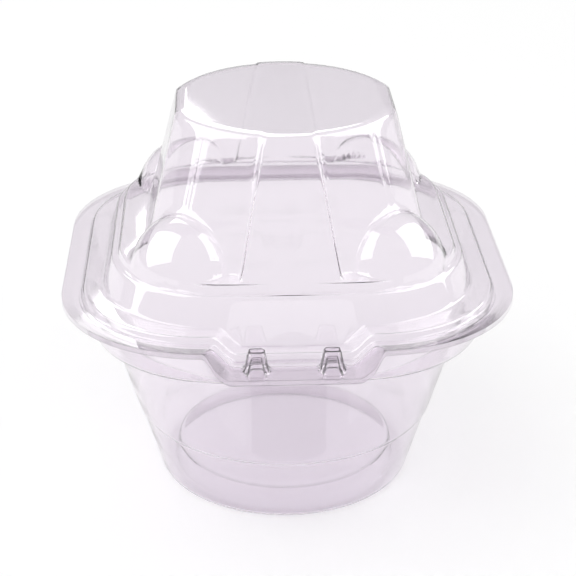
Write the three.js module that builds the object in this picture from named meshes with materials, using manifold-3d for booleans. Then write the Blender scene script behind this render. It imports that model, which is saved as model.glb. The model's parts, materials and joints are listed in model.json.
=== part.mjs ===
// Clear clamshell box for one cupcake: a round tray with a square rim, and a
// domed lid that folds on a hinge at the back and snaps shut at the front.
// Millimetres, +Z up, front towards -Y, origin under the middle of the foot.

import * as THREE from 'three';
import { mergeVertices } from 'three/addons/utils/BufferGeometryUtils.js';
import Module from 'manifold-3d';

const wasm = await Module();
wasm.setup();

// Sheet and fits
const sheet = 0.5;
const nestGap = 0.3;

// Tray
const floorRadius = 27.9;
const floorHeight = 6.2;
const footInner = 29.0;
const footOuter = 33.2;
const footEdge = 0.8;
const stackHeight = 18.4;
const stackRadius = 38.8;
const stackStep = 0.6;
const wallInset = 8.4;
const shelfDrop = 12.0;
const shelfRise = 1.2;
const shelfWidth = 1.4;
const shelfCore = 15.0;
const collarInset = 4.7;

// Rim shared by the tray and the lid: a square with large round corners
const rimHeight = 58.0;
const rimHalf = 55.0;
const rimCore = 20.0;
const cornerBlend = 0.6;

// Hinge at the back
const hingeOverhang = 5.0;
const hingeGap = 0.3;
const hingeHalfLength = 32.0;
const leafCorner = 2.0;

// Snap tab at the front
const tabDrop = 4.5;
const tabFloorHalf = 13.0;
const tabTipHalf = 17.5;
const tabRampHalf = 21.0;
const snapSpacing = 17.2;
const snapHalf = 2.8;
const snapTipHalf = 2.4;
const snapHeight = 4.8;
const snapBack = 5.0;

// Lid
const lipWidth = 4.8;
const beadRise = 1.4;
const beadWidth = 3.2;
const shoulderRise = 9.0;
const shoulderInset = 12.4;
const shoulderCore = 15.7;
const deckRise = 1.9;
const deckInset = 1.6;
const domeFootInset = 3.8;
const domeTopRadius = 27.8;
const topHeight = 100.4;
const topEdge = 0.8;
const bumpInset = 17.1;
const bumpRadius = 12.8;
const bumpSink = 0.6;
const bumpSkirt = 5.0;
const panelFootRelief = 3.1;
const panelTopRelief = 1.6;
const panelFootHalf = 12.4;
const panelTopHalf = 6.2;
const flatTopRelief = 1.3;
const flatFootRelief = 3.0;

// Facets round the part and over a bump
const rayCount = 64;
const bumpSteps = 7;

// Places that follow from the rim, so that every part keeps its clearance
const wallTopRadius = rimHalf - wallInset;
const shelfHeight = rimHeight - shelfDrop;
const collarHalf = rimHalf - collarInset;
const shoulderHalf = rimHalf - shoulderInset;
const shoulderHeight = rimHeight + shoulderRise;
const deckHalf = shoulderHalf - deckInset;
const domeFootRadius = deckHalf - domeFootInset;
const panelFootReach = domeFootRadius + panelFootRelief;
const panelTopReach = domeTopRadius + panelTopRelief;
const bumpPlace = shoulderHalf - bumpInset;
const bumpHeight = shoulderHeight - bumpSink;
const hingeReach = rimHalf + hingeOverhang;
const hingeHeight = rimHeight + nestGap / 2;
const leafEnd = hingeReach - hingeGap;
const tabPush = leafEnd - rimHalf;
const lidBottom = rimHeight + nestGap;
const lidRim = lidBottom + sheet;
const rampRay = Math.atan(tabRampHalf / rimHalf);
const tipRay = Math.atan(tabTipHalf / rimHalf);
const floorRay = Math.atan(tabFloorHalf / (rimHalf - lipWidth));

// Directions in which every section is sampled, measured from the front.
// Those near the front fall on the folds of the snap tab.
function makeRays() {
  const step = (2 * Math.PI) / rayCount;
  const rays = [0];
  for (const ray of [floorRay / 2, floorRay, tipRay, rampRay]) {
    rays.push(ray, -ray);
  }
  for (let k = 0; k < rayCount; k += 1) {
    const ray = k * step - Math.PI;
    if (Math.abs(ray) > rampRay + step / 2) rays.push(ray);
  }
  return rays.sort((a, b) => a - b);
}

const rays = makeRays();

function clampedRamp(value, start, end) {
  return THREE.MathUtils.clamp((value - start) / (end - start), 0, 1);
}

// How far a square with round corners reaches along a ray. The flat part of
// each side runs core either way of its middle; core 0 gives a circle.
function reachAlong(ray, half, core) {
  const folded = Math.abs(ray) % (Math.PI / 2);
  const angle = Math.min(folded, Math.PI / 2 - folded);
  if (half * Math.tan(angle) <= core) return half / Math.cos(angle);
  const corner = half - core;
  const along = core * (Math.cos(angle) + Math.sin(angle));
  return along + Math.sqrt(along * along - 2 * core * core + corner * corner);
}

// One point of a section. The rim dips at the front into the snap tab, and
// its edge is pushed forward there.
function sectionPoint(row, ray) {
  const reach = reachAlong(ray, row.half, row.core);
  const side = Math.abs(ray);
  const dip = (row.dip ?? 0) * tabDrop * clampedRamp(side, rampRay, floorRay);
  const push = (row.push ?? 0) * tabPush * clampedRamp(side, rampRay, tipRay);
  return [reach * Math.sin(ray), -reach * Math.cos(ray) - push, row.z - dip];
}

// Closed body through a run of sections, each end capped by a fan.
function loft(rows) {
  const positions = [];
  const indices = [];
  for (const row of rows) {
    for (const ray of rays) positions.push(...sectionPoint(row, ray));
  }
  const around = rays.length;
  for (let level = 0; level + 1 < rows.length; level += 1) {
    for (let k = 0; k < around; k += 1) {
      const a = level * around + k;
      const b = level * around + ((k + 1) % around);
      indices.push(a, b, b + around, a, b + around, a + around);
    }
  }
  const last = (rows.length - 1) * around;
  const bottom = rows.length * around;
  positions.push(0, 0, rows[0].z, 0, 0, rows.at(-1).z);
  for (let k = 0; k < around; k += 1) {
    const next = (k + 1) % around;
    indices.push(bottom, next, k, bottom + 1, last + k, last + next);
  }
  const geometry = new THREE.BufferGeometry();
  geometry.setAttribute('position', new THREE.Float32BufferAttribute(positions, 3));
  geometry.setIndex(indices);
  return toSolid(geometry);
}

function toSolid(geometry) {
  const bare = new THREE.BufferGeometry();
  bare.setAttribute('position', geometry.getAttribute('position').clone());
  if (geometry.index) bare.setIndex(geometry.index.clone());
  const merged = mergeVertices(bare, 1e-5);
  const mesh = new wasm.Mesh({
    numProp: 3,
    vertProperties: new Float32Array(merged.getAttribute('position').array),
    triVerts: new Uint32Array(merged.index.array),
  });
  return new wasm.Manifold(mesh);
}

function toGeometry(solid) {
  const mesh = solid.getMesh();
  const geometry = new THREE.BufferGeometry();
  const positions = new Float32Array(mesh.vertProperties);
  geometry.setAttribute('position', new THREE.BufferAttribute(positions, 3));
  geometry.setIndex(new THREE.BufferAttribute(new Uint32Array(mesh.triVerts), 1));
  geometry.computeVertexNormals();
  return geometry;
}

function join(solids) {
  return solids.reduce((whole, next) => whole.add(next));
}

// The same profile moved to its left by a distance, corners kept sharp.
function offsetRows(rows, distance) {
  const normals = rows.slice(1).map((row, k) => {
    const along = new THREE.Vector2(row.half - rows[k].half, row.z - rows[k].z);
    return new THREE.Vector2(-along.y, along.x).normalize();
  });
  return rows.map((row, k) => {
    const before = normals[Math.max(k - 1, 0)];
    const after = normals[Math.min(k, normals.length - 1)];
    const share = distance / (1 + before.dot(after));
    return {
      ...row,
      half: row.half + (before.x + after.x) * share,
      z: row.z + (before.y + after.y) * share,
    };
  });
}

// Tray: one sheet whose outer profile runs from the raised floor over the
// foot ring, up the cone and the square collar, and out to the rim's edge.
function trayProfile() {
  const under = rimHeight - sheet;
  const slope = (stackRadius - stackStep - footOuter) / (stackHeight - footEdge);
  return [
    { half: floorRadius, core: 0, z: floorHeight - sheet },
    { half: footInner, core: 0, z: 0 },
    { half: footOuter - footEdge, core: 0, z: 0 },
    { half: footOuter, core: 0, z: footEdge },
    { half: footOuter + slope * (stackHeight - footEdge), core: 0, z: stackHeight },
    { half: stackRadius, core: 0, z: stackHeight + stackStep },
    { half: wallTopRadius, core: 0, z: shelfHeight },
    { half: wallTopRadius + shelfWidth, core: shelfCore, z: shelfHeight + shelfRise },
    { half: collarHalf, core: rimCore, z: under - cornerBlend, dip: 1 },
    { half: collarHalf + cornerBlend, core: rimCore, z: under, dip: 1 },
    { half: rimHalf, core: rimCore, z: under, dip: 1, push: 1 },
  ];
}

// Lid: outer profile from the rim's underside edge to the flat top.
function lidProfile() {
  const lipInner = rimHalf - lipWidth;
  const beadTop = lidRim + beadRise;
  const beadOuter = lipInner - cornerBlend;
  return [
    { half: rimHalf, core: rimCore, z: lidRim, dip: 1, push: 1 },
    { half: lipInner, core: rimCore, z: lidRim, dip: 1 },
    { half: beadOuter, core: rimCore, z: beadTop, dip: 1 },
    { half: beadOuter - beadWidth + cornerBlend, core: rimCore - 1, z: beadTop, dip: 1 },
    { half: shoulderHalf + cornerBlend / 2, core: shoulderCore, z: shoulderHeight - cornerBlend },
    { half: shoulderHalf - cornerBlend / 2, core: shoulderCore, z: shoulderHeight },
    { half: deckHalf, core: shoulderCore, z: shoulderHeight + deckRise - cornerBlend },
    { half: deckHalf - cornerBlend, core: shoulderCore, z: shoulderHeight + deckRise },
    { half: domeFootRadius, core: 0, z: shoulderHeight + deckRise + nestGap },
    { half: domeTopRadius + topEdge / 3, core: 0, z: topHeight - topEdge },
    { half: domeTopRadius - topEdge / 2, core: 0, z: topHeight },
  ];
}

// Hollow knob of the snap, narrowed by an inset on every side.
function snapKnobs(inset, base) {
  const top = lidRim - tabDrop + snapHeight - inset;
  const knob = loft([
    { half: snapHalf - inset, core: snapHalf / 2, z: base },
    { half: snapTipHalf - inset, core: snapTipHalf / 2, z: top },
  ]);
  const y = -(leafEnd - snapBack);
  return knob.translate(snapSpacing / 2, y, 0).add(knob.translate(-snapSpacing / 2, y, 0));
}

// Leaf of the hinge: a strip with rounded outer corners behind the rim.
function hingeLeaf(bottom) {
  const outline = new THREE.Shape();
  const root = rimHalf - lipWidth / 2;
  outline.moveTo(-hingeHalfLength, root);
  outline.lineTo(hingeHalfLength, root);
  outline.lineTo(hingeHalfLength, leafEnd - leafCorner);
  outline.lineTo(hingeHalfLength - leafCorner, leafEnd);
  outline.lineTo(-hingeHalfLength + leafCorner, leafEnd);
  outline.lineTo(-hingeHalfLength, leafEnd - leafCorner);
  outline.closePath();
  const strip = new THREE.ExtrudeGeometry(outline, { depth: sheet, bevelEnabled: false });
  return toSolid(strip.translate(0, 0, bottom));
}

// Raised panels down the front and the back of the dome.
function domePanels(inset) {
  const low = shoulderHeight - deckRise;
  const deck = shoulderHeight + deckRise;
  const top = topHeight - inset;
  const reachSlope = (panelFootReach - panelTopReach) / (topHeight - deck);
  const widthSlope = (panelFootHalf - panelTopHalf) / (topHeight - deck);
  const reachAt = (z) => panelTopReach - inset + reachSlope * (topHeight - z);
  const halfAt = (z) => panelTopHalf - inset + widthSlope * (topHeight - z);
  const face = new THREE.Shape();
  face.moveTo(-halfAt(low), low);
  face.lineTo(halfAt(low), low);
  face.lineTo(halfAt(top), top);
  face.lineTo(-halfAt(top), top);
  face.closePath();
  const through = new THREE.ExtrudeGeometry(face, { depth: 2 * rimHalf, bevelEnabled: false });
  through.rotateX(Math.PI / 2).translate(0, rimHalf, 0);
  const cone = loft([
    { half: reachAt(low), core: 0, z: low },
    { half: reachAt(top), core: 0, z: top },
  ]);
  return toSolid(through).intersect(cone);
}

// Half balls in the four corners, each on a short skirt that the shoulder hides.
function domeBumps(inset) {
  const radius = bumpRadius - inset;
  const profile = [new THREE.Vector2(0, -bumpSkirt), new THREE.Vector2(radius, -bumpSkirt)];
  for (let k = 0; k <= bumpSteps; k += 1) {
    const rise = (k / bumpSteps) * (Math.PI / 2);
    profile.push(new THREE.Vector2(k < bumpSteps ? radius * Math.cos(rise) : 0, radius * Math.sin(rise)));
  }
  const bumps = [];
  for (const x of [-bumpPlace, bumpPlace]) {
    for (const y of [-bumpPlace, bumpPlace]) {
      const bump = new THREE.LatheGeometry(profile, 4 * bumpSteps).rotateX(Math.PI / 2);
      bumps.push(toSolid(bump.translate(x, y, bumpHeight)));
    }
  }
  return join(bumps);
}

// Wedges that cut the dome flat on its left and its right.
function sideWedges(inset) {
  const deck = shoulderHeight + deckRise;
  const low = deck + 2 * nestGap - inset;
  const high = topHeight + sheet;
  const topReach = domeTopRadius - flatTopRelief;
  const footReach = domeFootRadius - flatFootRelief;
  const slope = (footReach - topReach) / (topHeight - deck);
  const reachAt = (z) => topReach - inset + slope * (topHeight - z);
  const section = new THREE.Shape();
  section.moveTo(reachAt(low), low);
  section.lineTo(rimHalf, low);
  section.lineTo(rimHalf, high);
  section.lineTo(reachAt(high), high);
  section.closePath();
  const right = new THREE.ExtrudeGeometry(section, { depth: 2 * rimHalf, bevelEnabled: false });
  right.rotateX(Math.PI / 2).translate(0, rimHalf, 0);
  const left = right.clone().rotateZ(Math.PI);
  return toSolid(right).add(toSolid(left));
}

function makeTray() {
  const outside = trayProfile();
  const inside = offsetRows(outside, sheet);
  const shell = loft([...outside, ...inside.reverse()]);
  const recessFloor = rimHeight - tabDrop;
  const knobs = snapKnobs(sheet + nestGap, recessFloor - sheet / 2);
  const hollows = snapKnobs(2 * sheet + nestGap, recessFloor - 2 * sheet);
  return join([shell, knobs, hingeLeaf(rimHeight - sheet)]).subtract(hollows);
}

function makeLid() {
  const outside = lidProfile();
  const edge = { ...outside[0], z: lidBottom };
  const dome = loft([edge, ...outside]).subtract(sideWedges(0));
  const skin = [dome, domePanels(0), domeBumps(0)];
  const inside = offsetRows(outside.slice(1), sheet);
  inside[0].z = lidBottom;
  const mouth = { ...inside[0], z: lidBottom - sheet };
  const hollow = loft([mouth, ...inside]).subtract(sideWedges(sheet));
  const room = [hollow, domePanels(sheet), domeBumps(sheet)];
  const recessTop = lidRim - tabDrop;
  const knobs = snapKnobs(0, recessTop - sheet / 2);
  const hollows = snapKnobs(sheet, recessTop - 2 * sheet);
  const shell = join(skin).subtract(join(room));
  return join([shell, knobs, hingeLeaf(lidBottom)]).subtract(hollows);
}

function clearPlastic() {
  return new THREE.MeshStandardMaterial({
    color: new THREE.Color(0.86, 0.85, 0.9),
    roughness: 0.08,
    metalness: 0,
    transparent: true,
    opacity: 0.3,
    side: THREE.DoubleSide,
  });
}

function makePiece(name, solid) {
  const mesh = new THREE.Mesh(toGeometry(solid), clearPlastic());
  mesh.name = name;
  return mesh;
}

// The lid hangs in its own group, which turns about the fold of the hinge.
const hinge = new THREE.Group();
hinge.position.set(0, hingeReach, hingeHeight);
const lid = makePiece('lid', makeLid());
lid.geometry.translate(0, -hingeReach, -hingeHeight);
hinge.add(lid);

const box = new THREE.Group();
box.add(makePiece('tray', makeTray()), hinge);

export default box;
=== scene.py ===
"""Clear clamshell cupcake box, dressed around its packed frame. Metres, +Z up, front towards -Y."""

import json
import math
from typing import NamedTuple

import bpy
import numpy as np
from mathutils import Matrix, Vector


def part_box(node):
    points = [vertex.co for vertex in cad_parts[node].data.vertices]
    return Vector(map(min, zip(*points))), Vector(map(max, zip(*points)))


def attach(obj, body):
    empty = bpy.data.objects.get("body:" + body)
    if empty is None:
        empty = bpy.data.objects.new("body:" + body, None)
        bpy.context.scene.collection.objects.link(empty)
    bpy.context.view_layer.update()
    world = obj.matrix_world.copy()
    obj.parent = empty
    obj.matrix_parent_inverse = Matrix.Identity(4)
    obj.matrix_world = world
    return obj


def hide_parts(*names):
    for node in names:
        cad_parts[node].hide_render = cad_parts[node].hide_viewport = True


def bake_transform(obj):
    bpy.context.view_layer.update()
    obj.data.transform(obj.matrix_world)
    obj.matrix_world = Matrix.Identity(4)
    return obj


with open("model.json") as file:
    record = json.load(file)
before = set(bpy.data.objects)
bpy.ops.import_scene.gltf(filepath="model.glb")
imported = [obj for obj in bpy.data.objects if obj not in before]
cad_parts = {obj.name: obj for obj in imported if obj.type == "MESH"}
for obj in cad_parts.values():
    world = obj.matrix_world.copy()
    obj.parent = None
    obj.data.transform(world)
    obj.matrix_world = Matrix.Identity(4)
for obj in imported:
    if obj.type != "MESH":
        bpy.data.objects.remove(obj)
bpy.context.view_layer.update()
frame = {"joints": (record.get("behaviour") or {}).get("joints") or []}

bl_info = {
    "name": "Clear Cupcake Box",
    "version": (1, 0, 0),
    "blender": (4, 5, 0),
    "location": "View3D > Sidebar > Cupcake Box",
    "description": "Builds a clear formed box for one cupcake and the stage it stands on",
    "category": "Object",
}

MM = 0.001
HINGE = next(joint for joint in frame["joints"] if joint["name"] == "lid_hinge")
HINGE_HEIGHT = HINGE["pos_m"][2]
TOP_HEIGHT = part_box("lid")[1][2]
LEAF_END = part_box("lid")[1][1]
RIM_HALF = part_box("lid")[1][0]

# Thickness of the packed solids' sheet, which sets where the rims' outer faces lie
CAD_SHEET = 0.5 * MM
FOLD_THICKNESS = 0.25 * MM
RIM_BLEND = 0.6 * MM
LEDGE_RISE = 0.15 * MM
BEAD_CORE_INSET = 2.5 * MM
BUMP_FILLET = 0.8 * MM
DOME_FILLET = 0.8 * MM
FLAT_FILLET = 0.6 * MM
TOP_FILLET = 2.4 * MM
PANEL_PASSES = 4

GRAIN_SCALE = 600.0
GRAIN_SHARE = 0.06
WAVE_SCALES = {"tray": 70.0, "lid": 55.0, "hinge": 90.0}
WAVE_STRETCH = (0.6, 0.6, 2.4)


def length(name, millimetres, description):
    """A length property whose default is given in millimetres."""
    return bpy.props.FloatProperty(
        name=name,
        description=description,
        default=millimetres * MM,
        min=0.0,
        unit="LENGTH",
        subtype="DISTANCE",
    )


def number(name, value, description):
    return bpy.props.FloatProperty(name=name, description=description, default=value, min=0.0)


def count(name, value, description):
    return bpy.props.IntProperty(name=name, description=description, default=value, min=3)


def colour(name, value, description):
    return bpy.props.FloatVectorProperty(
        name=name,
        description=description,
        default=value,
        size=3,
        min=0.0,
        max=1.0,
        subtype="COLOR",
    )


class SheetSizes(bpy.types.PropertyGroup):
    """The formed sheet and the mesh that draws it."""

    thickness: length("Thickness", 0.3, "Thickness of the formed sheet")
    softness: length("Softness", 0.15, "How far the mould's edges are rounded by the sheet")
    core_softness: length("Core softness", 0.4, "The same for the sheet's inner skin")
    edge: length("Cut edge", 0.06, "Thickness of the sheet at its cut edge")
    taper: length("Taper", 3.0, "Distance over which the sheet thins to its cut edge")
    nest_gap: length("Nest gap", 0.3, "Gap between the tray's rim and the lid's")
    front_share: number("Front share", 0.72, "How much closer the lines lie at the front")
    lines: count("Lines", 352, "Mesh lines that run from the middle out to the rim")


class RimSizes(bpy.types.PropertyGroup):
    """The square rim that the tray and the lid share."""

    height: length("Height", 58.0, "Top of the tray's rim above the table")
    half: length("Half width", RIM_HALF / MM, "Half the rim's width")
    core: length("Flat half", 20.0, "Half the straight part of each side")
    lip: length("Lip", 4.8, "Width of the flat lip outside the bead")
    drop: length("Tab drop", 4.5, "How far the snap tab lies below the rim")
    tab_floor: length("Tab floor", 13.0, "Half width of the tab's flat floor")
    tab_tip: length("Tab tip", 17.5, "Half width of the tab's front edge")
    tab_ramp: length("Tab ramp", 21.0, "Half width across the tab's two ramps")
    leaf_half: length("Leaf half", 32.0, "Half the length of the hinge leaf")
    knob_spacing: length("Knob spacing", 17.2, "Distance between the two snap knobs")
    knob_half: length("Knob half", 2.8, "Half the width of a lid knob at its foot")
    knob_tip: length("Knob tip", 2.0, "Half the width of a lid knob at its tip")
    knob_height: length("Knob height", 4.8, "Height of a lid knob above its tab")
    knob_back: length("Knob back", 5.0, "Distance from the tab's edge to a knob's middle")


class TraySizes(bpy.types.PropertyGroup):
    """The tray that holds the cake."""

    floor_radius: length("Floor radius", 27.9, "Radius of the raised floor")
    floor_height: length("Floor height", 5.7, "Height of the raised floor's underside")
    foot_inner: length("Foot inner", 29.0, "Inner radius of the foot ring")
    foot_outer: length("Foot outer", 33.2, "Outer radius of the foot ring")
    foot_edge: length("Foot edge", 0.8, "Size of the foot ring's rounded edge")
    stack_height: length("Stack height", 18.4, "Height of the stacking ring")
    stack_radius: length("Stack radius", 38.8, "Radius of the stacking ring")
    stack_step: length("Stack step", 0.6, "Width of the stacking ring's step")
    wall_top: length("Wall top", 46.6, "Radius at the top of the round wall")
    shelf_height: length("Shelf height", 46.0, "Height of the shelf under the collar")
    shelf_rise: length("Shelf rise", 1.2, "Rise of the shelf")
    shelf_width: length("Shelf width", 1.4, "Width of the shelf at the middle of a side")
    shelf_core: length("Shelf flat", 15.0, "Half the straight part of the shelf's outline")
    collar_half: length("Collar half", 50.3, "Half width of the collar under the rim")


class LidSizes(bpy.types.PropertyGroup):
    """The domed lid."""

    bead_rise: length("Bead rise", 1.4, "Height of the bead inside the lip")
    bead_width: length("Bead width", 5.2, "Width of the bead")
    shoulder_height: length("Shoulder height", 67.0, "Height of the shoulder's edge")
    shoulder_half: length("Shoulder half", 42.6, "Half width across the shoulder's edge")
    shoulder_core: length("Shoulder flat", 15.7, "Half the straight part of the shoulder")
    deck_rise: length("Deck rise", 1.9, "Height of the deck above the shoulder's edge")
    deck_half: length("Deck half", 41.0, "Half width of the deck")
    edge_blend: length("Edge blend", 0.6, "Size of the lid's sloped edges")
    foot_radius: length("Dome foot", 38.2, "Radius of the dome where it meets the deck")
    top_radius: length("Dome top", 27.8, "Radius of the dome's flat top")
    bump_place: length("Bump place", 24.0, "Distance of a bump from the lid's middle planes")
    bump_radius: length("Bump radius", 13.8, "Radius of a corner bump")
    bump_height: length("Bump height", 66.2, "Height of a bump's centre")
    bump_depth: length("Bump depth", 25.3, "The same distance from front to back")
    panel_foot_reach: length("Panel foot reach", 40.6, "How far the panel reaches at its foot")
    panel_top_reach: length("Panel top reach", 29.0, "How far the panel reaches at the top")
    panel_foot_half: length("Panel foot half", 12.4, "Half width of the panel at its foot")
    panel_top_half: length("Panel top half", 6.2, "Half width of the panel at the top")
    panel_slant: length("Panel slant", 1.8, "Width of the panel's slanted sides")
    flat_top_relief: length("Flat top relief", 1.3, "Depth of the dome's side flats at the top")
    flat_foot_relief: length("Flat foot relief", 4.0, "Depth of those flats at the foot")
    crease_depth: length("Crease depth", 0.1, "Depth of the creases between dome and bumps")
    crease_width: length("Crease width", 0.7, "Width of those creases")


class PlasticFinish(bpy.types.PropertyGroup):
    """The look of the clear sheet."""

    tint: colour("Tint", (0.950, 0.920, 0.955), "Colour that the sheet gives to light passing it")
    shadow: colour("Shadow", (0.84, 0.835, 0.845), "Light that reaches the table through a wall")
    bend: number("Refraction", 1.57, "Refractive index of the sheet")
    gloss: number("Roughness", 0.02, "Lowest roughness of the surface")
    haze: number("Haze", 0.07, "Highest roughness, where the mould has dulled the sheet")
    wave: length("Wave", 0.05, "Depth of the slow waves left by forming")


class StageLook(bpy.types.PropertyGroup):
    """Floor, lamps and camera."""

    floor_half: bpy.props.FloatProperty(
        name="Floor half",
        description="Half the floor's width",
        default=6.0,
        unit="LENGTH",
        subtype="DISTANCE",
    )
    floor_colour: colour("Floor", (0.97, 0.97, 0.97), "Colour of the floor")
    ambient: number("Ambient", 0.94, "Strength of the sky on matt surfaces")
    key: number("Key lamp", 4.0, "Power of the lamp that casts the shadow, in watts")
    lamp: number("Lamp", 4.2, "Brightness of a softbox against a white of 1")
    card: number("Floor card", 1.3, "Brightness of the pale cards beside the box")
    flag: number("Flag", 0.12, "Brightness of the grey studio walls in reflections")


class Row(NamedTuple):
    """One section of a formed sheet: a square with round corners at one height."""

    half: float
    core: float
    z: float
    dip: float
    steps: int


def ramp(value, start, end):
    """0 before start, 1 past end, and a smooth curve between them."""
    t = np.clip((value - start) / (end - start), 0.0, 1.0)
    return t * t * (3.0 - 2.0 * t)


def reach_along(angle, half, core):
    """How far a square with round corners reaches along each angle."""
    folded = np.abs(angle) % (math.pi / 2)
    a = np.minimum(folded, math.pi / 2 - folded)
    along = core * (np.cos(a) + np.sin(a))
    inside = along * along - 2 * core * core + (half - core) ** 2
    rounded = along + np.sqrt(np.maximum(inside, 0.0))
    return np.where(half * np.tan(a) <= core, half / np.cos(a), rounded)


def tab_dip(angle, rim):
    """0 round the rim and 1 on the floor of the snap tab."""
    side = np.abs(angle)
    start = math.atan(rim.tab_ramp / rim.half)
    end = math.atan(rim.tab_floor / (rim.half - rim.lip))
    return ramp(side, start, end)


def profile_height(angle, radius, rows, rim):
    """Height of a run of sections at each place, straight between one section and the next."""
    dip = tab_dip(angle, rim) * rim.drop
    height = np.full(np.shape(radius), rows[0].z)
    for inner, outer in zip(rows, rows[1:]):
        start = reach_along(angle, inner.half, inner.core)
        end = reach_along(angle, outer.half, outer.core)
        share = np.clip((radius - start) / (end - start), 0.0, 1.0)
        low = inner.z - inner.dip * dip
        high = outer.z - outer.dip * dip
        height = np.where(radius >= start, low + share * (high - low), height)
    return height


def smooth_max(a, b, width):
    """The larger of two heights, with a fillet where they cross."""
    near = np.maximum(width - np.abs(a - b), 0.0) / width
    return np.maximum(a, b) + near * near * width / 4


def soften(height, angle, radius, softness):
    """A height function averaged over a small round patch, which rounds every edge."""
    total = np.zeros(np.shape(radius))
    weight = 0.0
    for across in (-1.0, 0.0, 1.0):
        for out in (-2.0, -1.33, -0.67, 0.0, 0.67, 1.33, 2.0):
            share = math.exp(-(across * across + out * out) / 2)
            turned = angle + across * softness / np.maximum(radius, 10 * softness)
            total = total + share * height(turned, np.abs(radius + out * softness))
            weight += share
    return total / weight


def push_edge(x, y, angle, radius, rim):
    """Draws the lip forward at the snap tab, and back at the hinge leaf."""
    inner = reach_along(angle, rim.half - rim.lip, rim.core)
    edge = reach_along(angle, rim.half, rim.core)
    share = np.clip((radius - inner) / (edge - inner), 0.0, 1.0)
    start = math.atan(rim.tab_ramp / rim.half)
    front = ramp(np.abs(angle), start, math.atan(rim.tab_tip / rim.half))
    y = y - share * front * (LEAF_END - rim.half)
    back = ramp(np.abs(x), rim.leaf_half + MM, rim.leaf_half - MM) * (np.abs(angle) > 2.0)
    y = y + share * back * (LEAF_END + edge * np.cos(angle))
    return x, y


def spaced(start, end, steps):
    """Places between two edges, closer together near both of them."""
    for k in range(1, steps + 1):
        even = k / steps
        eased = 0.5 - 0.5 * math.cos(math.pi * even)
        yield start + (end - start) * (0.4 * even + 0.6 * eased)


def sheet_mesh(name, edges, height, turn, sizes, rim, side):
    """A closed thin sheet. edges gives each crease's reach and the mesh rows inside it,
    height its surface, turn its lines, and side is 1 where thickness goes down, -1 up."""
    lines = sizes.lines
    even = np.linspace(-math.pi, math.pi, lines, endpoint=False)
    base = even - sizes.front_share * np.sin(even)
    radii = []
    last = np.zeros(lines)
    for reach, steps in edges:
        angle = base + turn(base, reach(base))
        following = reach(angle)
        radii.extend(spaced(last, following, steps))
        last = following
    radius = np.array(radii)
    angle = base[None, :] + turn(base[None, :], radius)
    z = soften(height, angle, radius, sizes.softness)
    x, y = push_edge(radius * np.sin(angle), -radius * np.cos(angle), angle, radius, rim)
    outer = np.stack([x, y, z], axis=-1)
    edge = reach_along(angle, rim.half, rim.core)
    thin = np.clip((edge - radius) / sizes.taper, 0.0, 1.0)
    thickness = sizes.edge + thin * (sizes.thickness - sizes.edge)
    inner = outer - side * thickness[..., None] * up_from(height, angle, radius, sizes.core_softness)
    middle = height(np.zeros(1), np.zeros(1))[0]
    points = [*outer.reshape(-1, 3), (0.0, 0.0, middle)]
    points += [*inner.reshape(-1, 3), (0.0, 0.0, middle - side * sizes.thickness)]
    return new_mesh(name, points, sheet_faces(len(radii), lines, side))


def up_from(height, angle, radius, softness):
    """Unit normals of a softened height function, facing up."""
    step = 0.05 * MM
    turn = step / np.maximum(radius, 20 * step)
    out = soften(height, angle, radius + step, softness) - soften(height, angle, radius - step, softness)
    round_ = soften(height, angle + turn, radius, softness) - soften(height, angle - turn, radius, softness)
    out = out / (2 * step)
    across = round_ / (2 * turn * np.maximum(radius, 20 * step))
    x = -out * np.sin(angle) - across * np.cos(angle)
    y = out * np.cos(angle) - across * np.sin(angle)
    normal = np.stack([x, y, np.ones_like(x)], axis=-1)
    return normal / np.linalg.norm(normal, axis=-1, keepdims=True)


def sheet_faces(rows, lines, side):
    """Faces of the upper and lower skin and of the cut edge between them."""
    k = np.arange(lines)
    after = (k + 1) % lines
    start = (np.arange(rows - 1) * lines)[:, None]
    quads = np.stack([start + k, start + lines + k, start + lines + after, start + after], -1)
    quads = quads.reshape(-1, 4)
    offset = rows * lines + 1
    fan = np.stack([np.full(lines, offset - 1), k, after], -1)
    edge = (rows - 1) * lines
    strip = np.stack([edge + k, offset + edge + k, offset + edge + after, edge + after], -1)
    faces = [*quads.tolist(), *fan.tolist()]
    faces += [*(quads[:, ::-1] + offset).tolist(), *(fan[:, ::-1] + offset).tolist()]
    faces += strip.tolist()
    return faces if side > 0 else [face[::-1] for face in faces]


def new_mesh(name, points, faces):
    """A smooth mesh object whose cut edges stay sharp."""
    mesh = bpy.data.meshes.new(name)
    mesh.from_pydata(np.asarray(points).tolist(), [], faces)
    mesh.validate()
    mesh.shade_smooth()
    mesh.set_sharp_from_angle(angle=math.radians(55))
    piece = bpy.data.objects.new(name, mesh)
    bpy.context.scene.collection.objects.link(piece)
    return piece


def no_turn(angle, radius):
    return np.zeros(np.broadcast(angle, radius).shape)


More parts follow.
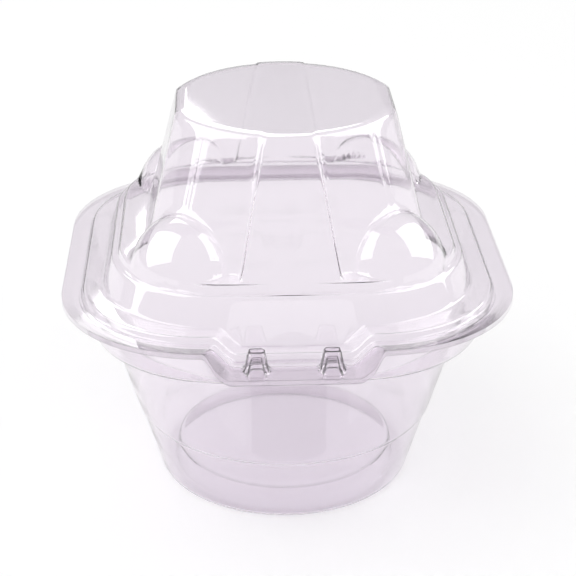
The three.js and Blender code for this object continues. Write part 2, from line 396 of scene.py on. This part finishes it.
def tray_rows(tray, rim):
    """The tray's underside from the raised floor to the rim's edge."""
    under = rim.height - CAD_SHEET
    slope = (tray.stack_radius - tray.stack_step - tray.foot_outer) / (tray.stack_height - tray.foot_edge)
    below_step = tray.foot_outer + slope * (tray.stack_height - tray.foot_edge)
    return [
        Row(tray.floor_radius, 0.0, tray.floor_height, 0.0, 14),
        Row(tray.foot_inner, 0.0, 0.0, 0.0, 10),
        Row(tray.foot_outer - tray.foot_edge, 0.0, 0.0, 0.0, 7),
        Row(tray.foot_outer, 0.0, tray.foot_edge, 0.0, 4),
        Row(below_step, 0.0, tray.stack_height, 0.0, 16),
        Row(tray.stack_radius, 0.0, tray.stack_height + tray.stack_step, 0.0, 4),
        Row(tray.wall_top, 0.0, tray.shelf_height, 0.0, 18),
        Row(tray.wall_top + tray.shelf_width, tray.shelf_core, tray.shelf_height + tray.shelf_rise, 0.0, 6),
        Row(tray.collar_half, rim.core, under - RIM_BLEND, 1.0, 10),
        Row(tray.collar_half + RIM_BLEND, rim.core, under, 1.0, 3),
        Row(rim.half, rim.core, under, 1.0, 34),
    ]


def row_edges(rows):
    """Each section's reach as a function of angle, with its mesh rows."""
    return [(lambda angle, row=row: reach_along(angle, row.half, row.core), row.steps) for row in rows]


def lid_rows(lid, rim, sheet):
    """The lid's upper side from the deck to the rim's edge."""
    low = rim.height + sheet.nest_gap + CAD_SHEET
    lip_inner = rim.half - rim.lip
    bead_outer = lip_inner - lid.edge_blend
    bead_inner = bead_outer - lid.bead_width + lid.edge_blend
    bead_top = low + lid.bead_rise
    deck = lid.shoulder_height + lid.deck_rise
    half_blend = lid.edge_blend / 2
    return [
        Row(lid.foot_radius, 0.0, deck + sheet.nest_gap, 0.0, 0),
        Row(lid.deck_half - half_blend, lid.shoulder_core, deck, 0.0, 12),
        Row(lid.deck_half + half_blend, lid.shoulder_core, lid.shoulder_height + LEDGE_RISE, 0.0, 5),
        Row(lid.shoulder_half - half_blend, lid.shoulder_core, lid.shoulder_height, 0.0, 4),
        Row(lid.shoulder_half + half_blend, lid.shoulder_core, lid.shoulder_height - half_blend, 0.0, 4),
        Row(bead_inner, rim.core - BEAD_CORE_INSET, bead_top, 1.0, 12),
        Row(bead_outer, rim.core, bead_top, 1.0, 7),
        Row(lip_inner, rim.core, low, 1.0, 4),
        Row(rim.half, rim.core, low, 1.0, 34),
    ]


def panel_share(x, z, lid, deck):
    """1 on the face of a dome panel, 0 beside it, with slanted sides between."""
    down = np.clip((TOP_HEIGHT - z) / (TOP_HEIGHT - deck), 0.0, 1.0)
    half = lid.panel_top_half + down * (lid.panel_foot_half - lid.panel_top_half)
    return ramp(np.abs(x), half + lid.panel_slant / 2, half - lid.panel_slant / 2)


def dome_height(angle, radius, lid, deck):
    """Height of the tapered dome with its two panels and its four faint creases."""
    fall = TOP_HEIGHT - deck
    x = radius * np.sin(angle)
    corner = np.abs(np.abs(np.sin(2 * angle)) - 1.0)
    crease = lid.crease_depth * np.exp(-corner * (lid.foot_radius / lid.crease_width) ** 2 / 2)
    z = TOP_HEIGHT - (radius - lid.top_radius) * fall / (lid.foot_radius - lid.top_radius)
    for _ in range(PANEL_PASSES):
        share = panel_share(x, z, lid, deck)
        top = lid.top_radius + share * (lid.panel_top_reach - lid.top_radius) - crease
        foot = lid.foot_radius + share * (lid.panel_foot_reach - lid.foot_radius) - crease
        z = TOP_HEIGHT - (radius - top) * fall / (foot - top)
    flat_top = lid.top_radius - lid.flat_top_relief
    flat_foot = lid.foot_radius - lid.flat_foot_relief
    side = TOP_HEIGHT - (np.abs(x) - flat_top) * fall / (flat_foot - flat_top)
    z = -smooth_max(-z, -side, FLAT_FILLET)
    return -smooth_max(-z, np.full_like(z, -TOP_HEIGHT), TOP_FILLET)


def bump_heights(angle, radius, lid):
    """Height of the nearest corner bump, far below the lid where there is none."""
    x = np.abs(radius * np.sin(angle)) - lid.bump_place
    y = np.abs(radius * np.cos(angle)) - lid.bump_depth
    inside = lid.bump_radius**2 - x * x - y * y
    return np.where(inside > 0, lid.bump_height + np.sqrt(np.maximum(inside, 0.0)), 0.0)


def knob_heights(angle, radius, rim, base, inset):
    """Height of the two snap knobs that stand on the tab, zero away from them."""
    x, y = push_edge(radius * np.sin(angle), -radius * np.cos(angle), angle, radius, rim)
    across = np.abs(np.abs(x) - rim.knob_spacing / 2)
    along = np.abs(y + LEAF_END - rim.knob_back)
    rounding = rim.knob_tip / 2
    corner = np.hypot(np.maximum(across - rounding, 0.0), np.maximum(along - rounding, 0.0))
    reach = corner + rounding
    inside = np.clip((rim.knob_half - inset - reach) / (rim.knob_half - rim.knob_tip), 0.0, 1.0)
    return np.where(inside > 0.0, base + inside * (rim.knob_height - inset), 0.0)


def make_tray(context):
    scene = context.scene
    rim = scene.box_rim
    sheet = scene.box_sheet
    rows = tray_rows(scene.box_tray, rim)
    base = rows[-1].z - rim.drop
    inset = CAD_SHEET + sheet.nest_gap

    def height(angle, radius):
        shell = profile_height(angle, radius, rows, rim)
        return np.maximum(shell, knob_heights(angle, radius, rim, base, inset))

    tray = sheet_mesh("tray_shell", row_edges(rows), height, no_turn, sheet, rim, side=-1)
    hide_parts("tray")
    return tray


def make_lid(context):
    scene = context.scene
    lid = scene.box_lid
    rim = scene.box_rim
    sheet = scene.box_sheet
    deck = lid.shoulder_height + lid.deck_rise
    rows = lid_rows(lid, rim, sheet)
    low = rows[-1].z
    top_turn = math.asin(lid.panel_top_half / lid.panel_top_reach)
    foot_turn = math.asin(lid.panel_foot_half / lid.panel_foot_reach)

    def height(angle, radius):
        shoulder = profile_height(angle, radius, rows, rim)
        dome = dome_height(angle, radius, lid, deck)
        raised = smooth_max(shoulder, bump_heights(angle, radius, lid), BUMP_FILLET)
        raised = smooth_max(raised, dome, DOME_FILLET)
        return np.maximum(raised, knob_heights(angle, radius, rim, low - rim.drop, 0.0))

    def dome_reach(plain, proud, flat, level):
        def reach(angle):
            share = panel_share(plain * np.sin(angle), level, lid, deck)
            side = flat / np.maximum(np.abs(np.sin(angle)), 0.1)
            return np.minimum(plain + share * (proud - plain), side)

        return reach

    def turn(angle, radius):
        folded = np.minimum(np.abs(angle), math.pi - np.abs(angle))
        way = np.sign(angle) * np.where(np.abs(angle) < math.pi / 2, 1.0, -1.0)
        rise = np.clip(folded / top_turn, 0.0, 1.0)
        fall = np.clip((math.pi / 4 - folded) / (math.pi / 4 - top_turn), 0.0, 1.0)
        share = np.minimum(rise, fall)
        out = np.clip(
            (radius - lid.panel_top_reach) / (lid.panel_foot_reach - lid.panel_top_reach), 0.0, 1.0
        )
        return way * share * out * (foot_turn - top_turn)

    flat_top = lid.top_radius - lid.flat_top_relief
    flat_foot = lid.foot_radius - lid.flat_foot_relief
    edges = [
        (dome_reach(lid.top_radius, lid.panel_top_reach, flat_top, TOP_HEIGHT), 12),
        (dome_reach(lid.foot_radius, lid.panel_foot_reach, flat_foot, deck), 38),
        *row_edges(rows[1:]),
    ]
    piece = sheet_mesh("lid_shell", edges, height, turn, sheet, rim, side=1)
    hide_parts("lid")
    return piece


def fold_mesh(name, rim, thickness):
    """The thin bent strip of the hinge, from the tray's leaf round to the lid's."""
    across = 12
    along = 24
    radius = (rim_gap(rim) + thickness) / 2
    points = []
    for skin in (radius + thickness / 2, radius - thickness / 2):
        for k in range(along + 1):
            x = (2 * k / along - 1) * (rim.leaf_half - MM)
            for step in range(across + 1):
                turn = math.pi * (step / across - 0.5)
                points.append((x, LEAF_END + skin * math.cos(turn), HINGE_HEIGHT + skin * math.sin(turn)))
    faces = []
    row = across + 1
    sheet = row * (along + 1)
    for k in range(along):
        for step in range(across):
            a = k * row + step
            faces.append([a, a + row, a + row + 1, a + 1])
            faces.append([sheet + a, sheet + a + 1, sheet + a + row + 1, sheet + a + row])
    for k in range(along):
        a = k * row
        faces.append([a, sheet + a, sheet + a + row, a + row])
        b = a + across
        faces.append([b, b + row, sheet + b + row, sheet + b])
    for step in range(across):
        faces.append([step, step + 1, sheet + step + 1, sheet + step])
        a = along * row + step
        faces.append([a, sheet + a, sheet + a + 1, a + 1])
    return new_mesh(name, points, faces)


def rim_gap(rim):
    return 2 * (HINGE_HEIGHT - rim.height) + CAD_SHEET


def value_node(tree, kind, **settings):
    node = tree.nodes.new(kind)
    for key, value in settings.items():
        setattr(node, key, value)
    return node


def waviness_group():
    """Slow waves and faint grain left in a formed sheet, as a height and a haze mask."""
    group = bpy.data.node_groups.new("sheet_waviness", "ShaderNodeTree")
    for name, kind in (("Wave Scale", "NodeSocketFloat"), ("Grain Scale", "NodeSocketFloat")):
        group.interface.new_socket(name=name, in_out="INPUT", socket_type=kind)
    group.interface.new_socket(name="Height", in_out="OUTPUT", socket_type="NodeSocketFloat")
    group.interface.new_socket(name="Haze", in_out="OUTPUT", socket_type="NodeSocketFloat")
    start = value_node(group, "NodeGroupInput")
    end = value_node(group, "NodeGroupOutput")
    place = value_node(group, "ShaderNodeTexCoord")
    waves = value_node(group, "ShaderNodeTexNoise", noise_dimensions="3D")
    waves.inputs["Detail"].default_value = 1.0
    grain = value_node(group, "ShaderNodeTexNoise", noise_dimensions="3D")
    grain.inputs["Detail"].default_value = 3.0
    fine = value_node(group, "ShaderNodeMath", operation="MULTIPLY")
    fine.inputs[1].default_value = GRAIN_SHARE
    total = value_node(group, "ShaderNodeMath", operation="ADD")
    link = group.links.new
    stretch = value_node(group, "ShaderNodeVectorMath", operation="MULTIPLY")
    stretch.inputs[1].default_value = WAVE_STRETCH
    link(place.outputs["Object"], stretch.inputs[0])
    link(stretch.outputs["Vector"], waves.inputs["Vector"])
    link(place.outputs["Object"], grain.inputs["Vector"])
    link(start.outputs["Wave Scale"], waves.inputs["Scale"])
    link(start.outputs["Grain Scale"], grain.inputs["Scale"])
    link(grain.outputs["Fac"], fine.inputs[0])
    link(waves.outputs["Fac"], total.inputs[0])
    link(fine.outputs["Value"], total.inputs[1])
    link(total.outputs["Value"], end.inputs["Height"])
    link(grain.outputs["Fac"], end.inputs["Haze"])
    return group


def clear_sheet(name, group, finish, wave_scale):
    """Clear glossy sheet that bends light. Shadow rays pass straight through it, at a set colour."""
    material = bpy.data.materials.new(name)
    material.use_nodes = True
    tree = material.node_tree
    tree.nodes.clear()
    output = value_node(tree, "ShaderNodeOutputMaterial")
    plastic = value_node(tree, "ShaderNodeBsdfPrincipled")
    plastic.inputs["Base Color"].default_value = (*finish.tint, 1.0)
    plastic.inputs["Metallic"].default_value = 0.0
    plastic.inputs["IOR"].default_value = finish.bend
    plastic.inputs["Transmission Weight"].default_value = 1.0
    waves = value_node(tree, "ShaderNodeGroup", node_tree=group)
    waves.inputs["Wave Scale"].default_value = wave_scale
    waves.inputs["Grain Scale"].default_value = GRAIN_SCALE
    dull = value_node(tree, "ShaderNodeMapRange")
    dull.inputs["To Min"].default_value = finish.gloss
    dull.inputs["To Max"].default_value = finish.haze
    bump = value_node(tree, "ShaderNodeBump")
    bump.inputs["Strength"].default_value = 1.0
    bump.inputs["Distance"].default_value = finish.wave
    lamps = value_node(tree, "ShaderNodeLightPath")
    clear = value_node(tree, "ShaderNodeBsdfTransparent")
    clear.inputs["Color"].default_value = (*finish.shadow, 1.0)
    mix = value_node(tree, "ShaderNodeMixShader")
    link = tree.links.new
    link(waves.outputs["Haze"], dull.inputs["Value"])
    link(dull.outputs["Result"], plastic.inputs["Roughness"])
    link(waves.outputs["Height"], bump.inputs["Height"])
    link(bump.outputs["Normal"], plastic.inputs["Normal"])
    link(lamps.outputs["Is Shadow Ray"], mix.inputs["Fac"])
    link(plastic.outputs["BSDF"], mix.inputs[1])
    link(clear.outputs["BSDF"], mix.inputs[2])
    link(mix.outputs["Shader"], output.inputs["Surface"])
    return material


def waviness():
    return bpy.data.node_groups.get("sheet_waviness") or waviness_group()


def finish_piece(piece, material):
    piece.data.materials.clear()
    piece.data.materials.append(material)


def plain_material(name, surface):
    material = bpy.data.materials.new(name)
    material.use_nodes = True
    tree = material.node_tree
    tree.nodes.clear()
    output = value_node(tree, "ShaderNodeOutputMaterial")
    shader = surface(tree)
    tree.links.new(shader.outputs[0], output.inputs["Surface"])
    return material


# How far the floor lies below the tray's foot, so that the two faces don't coincide
FLOOR_DROP = 0.1 * MM


def make_floor(look):
    """A wide matt floor."""
    half = look.floor_half
    low = -FLOOR_DROP
    corners = [(-half, -half, low), (half, -half, low), (half, half, low), (-half, half, low)]

    def surface(tree):
        shader = value_node(tree, "ShaderNodeBsdfDiffuse")
        shader.inputs["Color"].default_value = (*look.floor_colour, 1.0)
        return shader

    floor = new_mesh("floor", corners, [[0, 1, 2, 3]])
    floor.data.materials.append(plain_material("pale_floor", surface))


def make_flags(look):
    """Grey studio walls and ceiling, seen only in the sheet's reflections."""
    radius = 2.5
    rows = 12
    lines = 40
    points = []
    for row in range(rows + 1):
        lift = math.radians(2) + row * math.radians(86) / rows
        for line in range(lines + 1):
            turn = line * 2 * math.pi / lines
            flat = radius * math.cos(lift)
            points.append((flat * math.sin(turn), flat * math.cos(turn), radius * math.sin(lift)))
    faces = []
    for row in range(rows):
        for line in range(lines):
            a = row * (lines + 1) + line
            faces.append([a, a + 1, a + lines + 2, a + lines + 1])

    flags = new_mesh("studio_flags", points, faces)
    flags.data.materials.append(plain_material("grey_flag", emission((0.96, 0.94, 1.0), look.flag)))
    only_in_reflections(flags)


def only_in_reflections(thing):
    thing.visible_shadow = False
    thing.visible_camera = False
    thing.visible_transmission = False
    thing.visible_diffuse = False
    thing.visible_volume_scatter = False


CAMERA_TURN = math.radians(-2.45)
CAMERA_LIFT = math.radians(25.64)
CAMERA_DISTANCE = 0.41752
CAMERA_AIM = Vector((0.0, 0.0, 0.05))
CAMERA_LENS = 101.08
CAMERA_SHIFT = (0.0066, -0.0101)

# Softboxes: direction along the camera's right, up and back axes, then width and brightness
SOFTBOXES = {
    "left": ((-0.74, 0.56, 0.38), 0.42, 1.0),
    "right": ((0.75, 0.63, 0.22), 0.42, 1.0),
    "top": ((-0.12, 0.93, -0.35), 0.20, 1.0),
}
SOFTBOX_DISTANCE = 0.4
DARK_CARD = 0.25
KEY_SIZE = 1.2
KEY_PLACE = (-0.5, -0.3, 1.6)


def camera_axes():
    back = Vector((
        math.sin(CAMERA_TURN) * math.cos(CAMERA_LIFT),
        -math.cos(CAMERA_TURN) * math.cos(CAMERA_LIFT),
        math.sin(CAMERA_LIFT),
    ))
    right = Vector((math.cos(CAMERA_TURN), math.sin(CAMERA_TURN), 0.0))
    return right, back.cross(right), back


def make_softboxes(look):
    """Square lamps turned on their corners, seen only in the sheet's reflections."""
    right, up, back = camera_axes()
    for name, (way, side, share) in SOFTBOXES.items():
        toward = (right * way[0] + up * way[1] + back * way[2]).normalized()
        half = side / math.sqrt(2)
        corners = [(-half, 0, 0), (0, -half, 0), (half, 0, 0), (0, half, 0)]
        turn = toward.to_track_quat("Z", "Y").to_matrix()
        points = [CAMERA_AIM + toward * SOFTBOX_DISTANCE + turn @ Vector(corner) for corner in corners]
        glow = emission((1.0, 1.0, 1.0), look.lamp * share)
        card = new_mesh("softbox_" + name, points, [[0, 1, 2, 3]])
        card.data.materials.append(plain_material("softbox_glow_" + name, glow))
        only_in_reflections(card)


def make_floor_cards(look):
    """A dark card lying before the box and pale ones beside it, seen only in reflections."""
    near = -0.048
    far = -0.30
    lift = 0.5 * MM
    cards = {
        "floor_card_dark": ((-0.017, 0.017), (-0.10, 0.10), DARK_CARD),
        "floor_card_left": ((-0.070, -0.020), (-0.40, -0.12), look.card),
        "floor_card_right": ((0.030, 0.070), (0.16, 0.40), look.card),
    }
    for name, (close, away, strength) in cards.items():
        points = [(close[0], near, lift), (away[0], far, lift), (away[1], far, lift), (close[1], near, lift)]
        card = new_mesh(name, points, [[0, 1, 2, 3]])
        card.data.materials.append(plain_material(name, emission((1.0, 1.0, 1.0), strength)))
        only_in_reflections(card)


def make_key(look):
    """One broad lamp from above that lays a soft shadow on the floor."""
    data = bpy.data.lights.new("key", "AREA")
    data.shape = "SQUARE"
    data.size = KEY_SIZE
    data.energy = look.key
    lamp = bpy.data.objects.new("key", data)
    lamp.location = KEY_PLACE
    lamp.rotation_euler = lamp.location.to_track_quat("Z", "Y").to_euler()
    lamp.visible_camera = False
    lamp.visible_transmission = False
    lamp.visible_glossy = False
    bpy.context.scene.collection.objects.link(lamp)


def emission(tone, strength):
    def surface(tree):
        shader = value_node(tree, "ShaderNodeEmission")
        shader.inputs["Color"].default_value = (*tone, 1.0)
        shader.inputs["Strength"].default_value = strength
        return shader

    return surface


def make_sky(look):
    """White for the camera and in the sheet, softer on matt surfaces."""
    world = bpy.data.worlds.new("white_backdrop")
    world.use_nodes = True
    tree = world.node_tree
    tree.nodes.clear()
    output = value_node(tree, "ShaderNodeOutputWorld")
    shown = value_node(tree, "ShaderNodeBackground")
    shown.inputs["Strength"].default_value = 1.0
    shown.inputs["Color"].default_value = (1.0, 1.0, 1.0, 1.0)
    soft = value_node(tree, "ShaderNodeBackground")
    soft.inputs["Strength"].default_value = look.ambient
    soft.inputs["Color"].default_value = (1.0, 1.0, 1.0, 1.0)
    path = value_node(tree, "ShaderNodeLightPath")
    first = value_node(tree, "ShaderNodeMath", operation="MAXIMUM")
    second = value_node(tree, "ShaderNodeMath", operation="MAXIMUM")
    mix = value_node(tree, "ShaderNodeMixShader")
    link = tree.links.new
    link(path.outputs["Is Camera Ray"], first.inputs[0])
    link(path.outputs["Is Glossy Ray"], first.inputs[1])
    link(first.outputs["Value"], second.inputs[0])
    link(path.outputs["Is Transmission Ray"], second.inputs[1])
    link(second.outputs["Value"], mix.inputs["Fac"])
    link(soft.outputs["Background"], mix.inputs[1])
    link(shown.outputs["Background"], mix.inputs[2])
    link(mix.outputs["Shader"], output.inputs["Surface"])
    bpy.context.scene.world = world


def make_camera():
    right, up, back = camera_axes()
    data = bpy.data.cameras.new("camera")
    data.sensor_width = 36.0
    data.lens = CAMERA_LENS
    data.shift_x, data.shift_y = CAMERA_SHIFT
    data.clip_start = 0.01
    camera = bpy.data.objects.new("camera", data)
    turn = Matrix((right, up, back)).transposed().to_4x4()
    camera.matrix_world = Matrix.Translation(CAMERA_AIM + back * CAMERA_DISTANCE) @ turn
    bpy.context.scene.collection.objects.link(camera)
    bpy.context.scene.camera = camera


class BOX_OT_tray(bpy.types.Operator):
    """Build the tray"""

    bl_idname = "box.tray"
    bl_label = "Tray"

    def execute(self, context):
        scene = context.scene
        material = clear_sheet("tray_sheet", waviness(), scene.box_finish, WAVE_SCALES["tray"])
        tray = make_tray(context)
        finish_piece(tray, material)
        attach(tray, "tray")
        return {"FINISHED"}


class BOX_OT_lid(bpy.types.Operator):
    """Build the domed lid"""

    bl_idname = "box.lid"
    bl_label = "Lid"

    def execute(self, context):
        scene = context.scene
        material = clear_sheet("lid_sheet", waviness(), scene.box_finish, WAVE_SCALES["lid"])
        lid = make_lid(context)
        finish_piece(lid, material)
        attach(lid, "lid")
        return {"FINISHED"}


class BOX_OT_hinge(bpy.types.Operator):
    """Build the bent strip of the living hinge"""

    bl_idname = "box.hinge"
    bl_label = "Hinge"

    def execute(self, context):
        scene = context.scene
        material = clear_sheet("hinge_sheet", waviness(), scene.box_finish, WAVE_SCALES["hinge"])
        fold = fold_mesh("hinge_fold", scene.box_rim, FOLD_THICKNESS)
        finish_piece(fold, material)
        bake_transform(fold)
        return {"FINISHED"}


class BOX_OT_stage(bpy.types.Operator):
    """Set the floor, the lamps, the backdrop and the camera"""

    bl_idname = "box.stage"
    bl_label = "Stage"

    def execute(self, context):
        look = context.scene.box_stage
        make_floor(look)
        make_flags(look)
        make_softboxes(look)
        make_floor_cards(look)
        make_key(look)
        make_sky(look)
        make_camera()
        context.scene.view_settings.view_transform = "Standard"
        return {"FINISHED"}


class BOX_PT_sidebar(bpy.types.Panel):
    """Sizes and steps of the cupcake box"""

    bl_idname = "BOX_PT_sidebar"
    bl_label = "Cupcake Box"
    bl_space_type = "VIEW_3D"
    bl_region_type = "UI"
    bl_category = "Cupcake Box"

    def draw(self, context):
        column = self.layout.column()
        for operator in OPERATORS:
            column.operator(operator.bl_idname)
        for attribute, group in GROUPS.items():
            section = self.layout.box()
            section.label(text=group.__doc__)
            for name in group.__annotations__:
                section.prop(getattr(context.scene, attribute), name)


GROUPS = {
    "box_sheet": SheetSizes,
    "box_rim": RimSizes,
    "box_tray": TraySizes,
    "box_lid": LidSizes,
    "box_finish": PlasticFinish,
    "box_stage": StageLook,
}
OPERATORS = (BOX_OT_tray, BOX_OT_lid, BOX_OT_hinge, BOX_OT_stage)


def register():
    for cls in (*GROUPS.values(), *OPERATORS, BOX_PT_sidebar):
        bpy.utils.register_class(cls)
    for attribute, group in GROUPS.items():
        setattr(bpy.types.Scene, attribute, bpy.props.PointerProperty(type=group))


def unregister():
    for attribute in GROUPS:
        delattr(bpy.types.Scene, attribute)
    for cls in (BOX_PT_sidebar, *OPERATORS, *GROUPS.values()):
        bpy.utils.unregister_class(cls)


def main():
    register()
    bpy.ops.box.tray()
    bpy.ops.box.lid()
    bpy.ops.box.hinge()
    bpy.ops.box.stage()
    bpy.context.view_layer.update()


if __name__ == "__main__":
    main()
